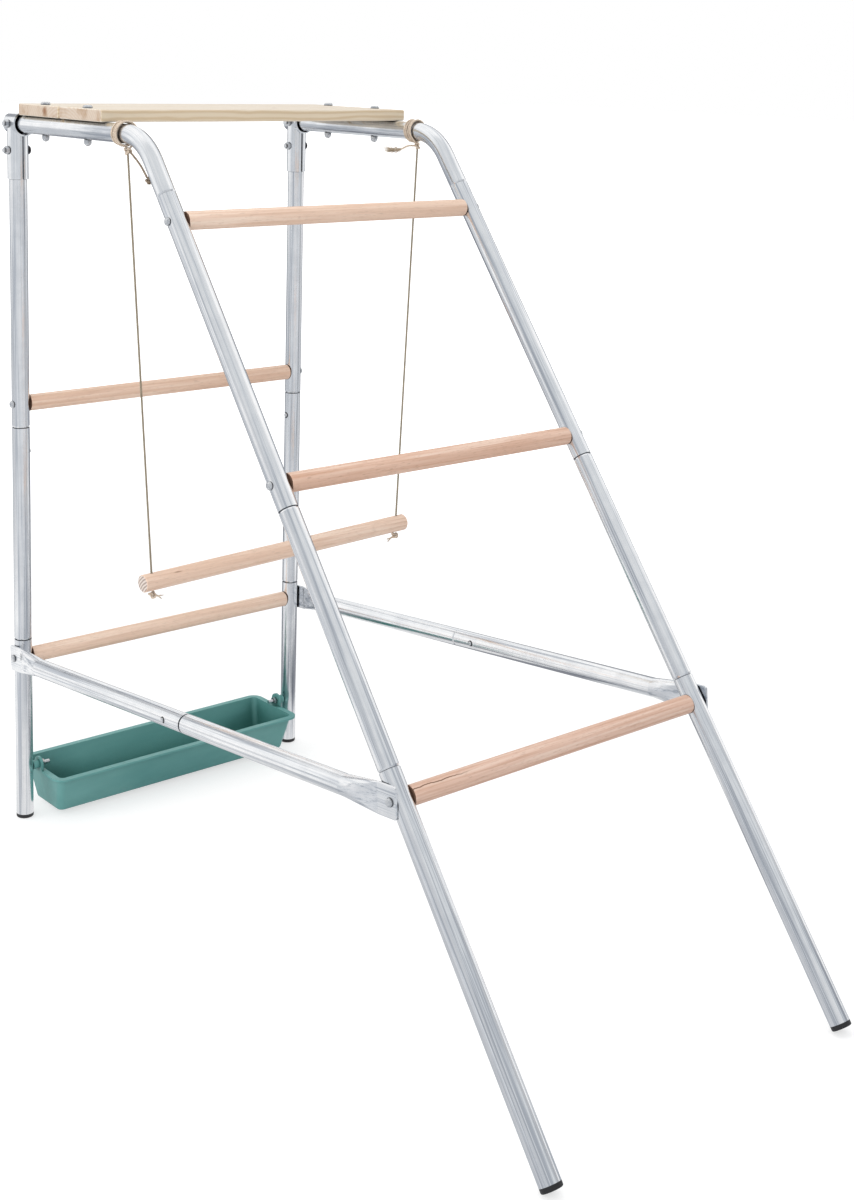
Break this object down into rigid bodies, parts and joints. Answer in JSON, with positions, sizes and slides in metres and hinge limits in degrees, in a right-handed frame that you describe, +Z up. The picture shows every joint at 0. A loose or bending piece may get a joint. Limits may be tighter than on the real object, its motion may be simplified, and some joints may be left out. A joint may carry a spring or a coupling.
{
  "type": "chicken perch",
  "caption": "Free-standing climbing perch for hens: slanted tube frame with round wooden perches, a plank roost, a rope swing and a tilting feed trough.",
  "frame": {"origin": "on the floor, under the middle of the part's box", "axes": "+X to the right-hand side frame, +Y to the rear legs, +Z up"},
  "size_m": [0.537, 1.1798, 1.0546],
  "materials": {
    "galvanised_steel": "bright galvanised, drawn tube",
    "pressed_steel": "bright galvanised, pressed sheet",
    "zinc_steel": "bright zinc plated",
    "spring_steel": "plain",
    "beech": "planed, untreated",
    "pine": "planed, untreated",
    "jute": "twisted fibre rope",
    "green_plastic": "moulded, satin",
    "black_plastic": "moulded"
  },
  "bodies": {
    "frame": {"left_top_tube": "galvanised_steel", "left_front_upper_tube": "galvanised_steel", "left_front_middle_tube": "galvanised_steel", "left_front_lower_tube": "galvanised_steel", "left_rear_upper_tube": "galvanised_steel", "left_rear_middle_tube": "galvanised_steel", "left_rear_lower_tube": "galvanised_steel", "left_brace_rear": "galvanised_steel", "left_brace_front": "galvanised_steel", "left_clamp_outer": "pressed_steel", "left_clamp_inner": "pressed_steel", "left_rope_wrap": "jute", "left_rope_knot": "jute", "left_rope_tail": "jute", "right_top_tube": "galvanised_steel", "right_front_upper_tube": "galvanised_steel", "right_front_middle_tube": "galvanised_steel", "right_front_lower_tube": "galvanised_steel", "right_rear_upper_tube": "galvanised_steel", "right_rear_middle_tube": "galvanised_steel", "right_rear_lower_tube": "galvanised_steel", "right_brace_rear": "galvanised_steel", "right_brace_front": "galvanised_steel", "right_clamp_outer": "pressed_steel", "right_clamp_inner": "pressed_steel", "right_rope_wrap": "jute", "right_rope_knot": "jute", "right_rope_tail": "jute", "left_tail_knot": "jute", "front_high_perch": "beech", "front_middle_perch": "beech", "front_low_perch": "beech", "rear_high_perch": "beech", "rear_low_perch": "beech", "roost_plank_1": "pine", "roost_plank_2": "pine", "rear_foot_caps": "black_plastic", "front_foot_caps": "black_plastic", "plank_bolts": "zinc_steel", "plank_nuts": "zinc_steel", "clamp_bolts": "zinc_steel", "clamp_nuts": "zinc_steel", "perch_screws": "zinc_steel", "brace_screws": "zinc_steel", "trough_studs": "zinc_steel", "trough_nuts": "zinc_steel", "snap_springs": "spring_steel"},
    "swing": {"swing_bar": "beech", "left_swing_rope": "jute", "right_swing_rope": "jute", "left_stopper_knot": "jute", "right_stopper_knot": "jute"},
    "trough": {"trough": "green_plastic"},
    "left_leg_button": {"left_leg_button": "zinc_steel"},
    "right_leg_button": {"right_leg_button": "zinc_steel"},
    "left_brace_button": {"left_brace_button": "zinc_steel"},
    "right_brace_button": {"right_brace_button": "zinc_steel"}
  },
  "joints": [
    {"name": "swing_pivot", "type": "hinge", "parent": "frame", "child": "swing", "pos_m": [0, 0.23561, 1.0007], "axis": [1, 0, 0], "range_deg": [-35, 28]},
    {"name": "trough_tilt", "type": "hinge", "parent": "frame", "child": "trough", "pos_m": [0, 0.52894, 0.0755], "axis": [1, 0, 0], "range_deg": [-90, 90]},
    {"name": "left_leg_button_press", "type": "slide", "parent": "frame", "child": "left_leg_button", "axis": [-1, 0, 0], "range_m": [0, 0.0036], "stiffness_N_per_m": 800, "springref_m": -0.002, "deforming": ["snap_springs"]},
    {"name": "right_leg_button_press", "type": "slide", "parent": "frame", "child": "right_leg_button", "axis": [1, 0, 0], "range_m": [0, 0.0036], "stiffness_N_per_m": 800, "springref_m": -0.002, "deforming": ["snap_springs"]},
    {"name": "left_brace_button_press", "type": "slide", "parent": "frame", "child": "left_brace_button", "axis": [1, 0, 0], "range_m": [0, 0.0036], "stiffness_N_per_m": 800, "springref_m": -0.002, "deforming": ["snap_springs"]},
    {"name": "right_brace_button_press", "type": "slide", "parent": "frame", "child": "right_brace_button", "axis": [1, 0, 0], "range_m": [0, 0.0036], "stiffness_N_per_m": 800, "springref_m": -0.002, "deforming": ["snap_springs"]}
  ]
}
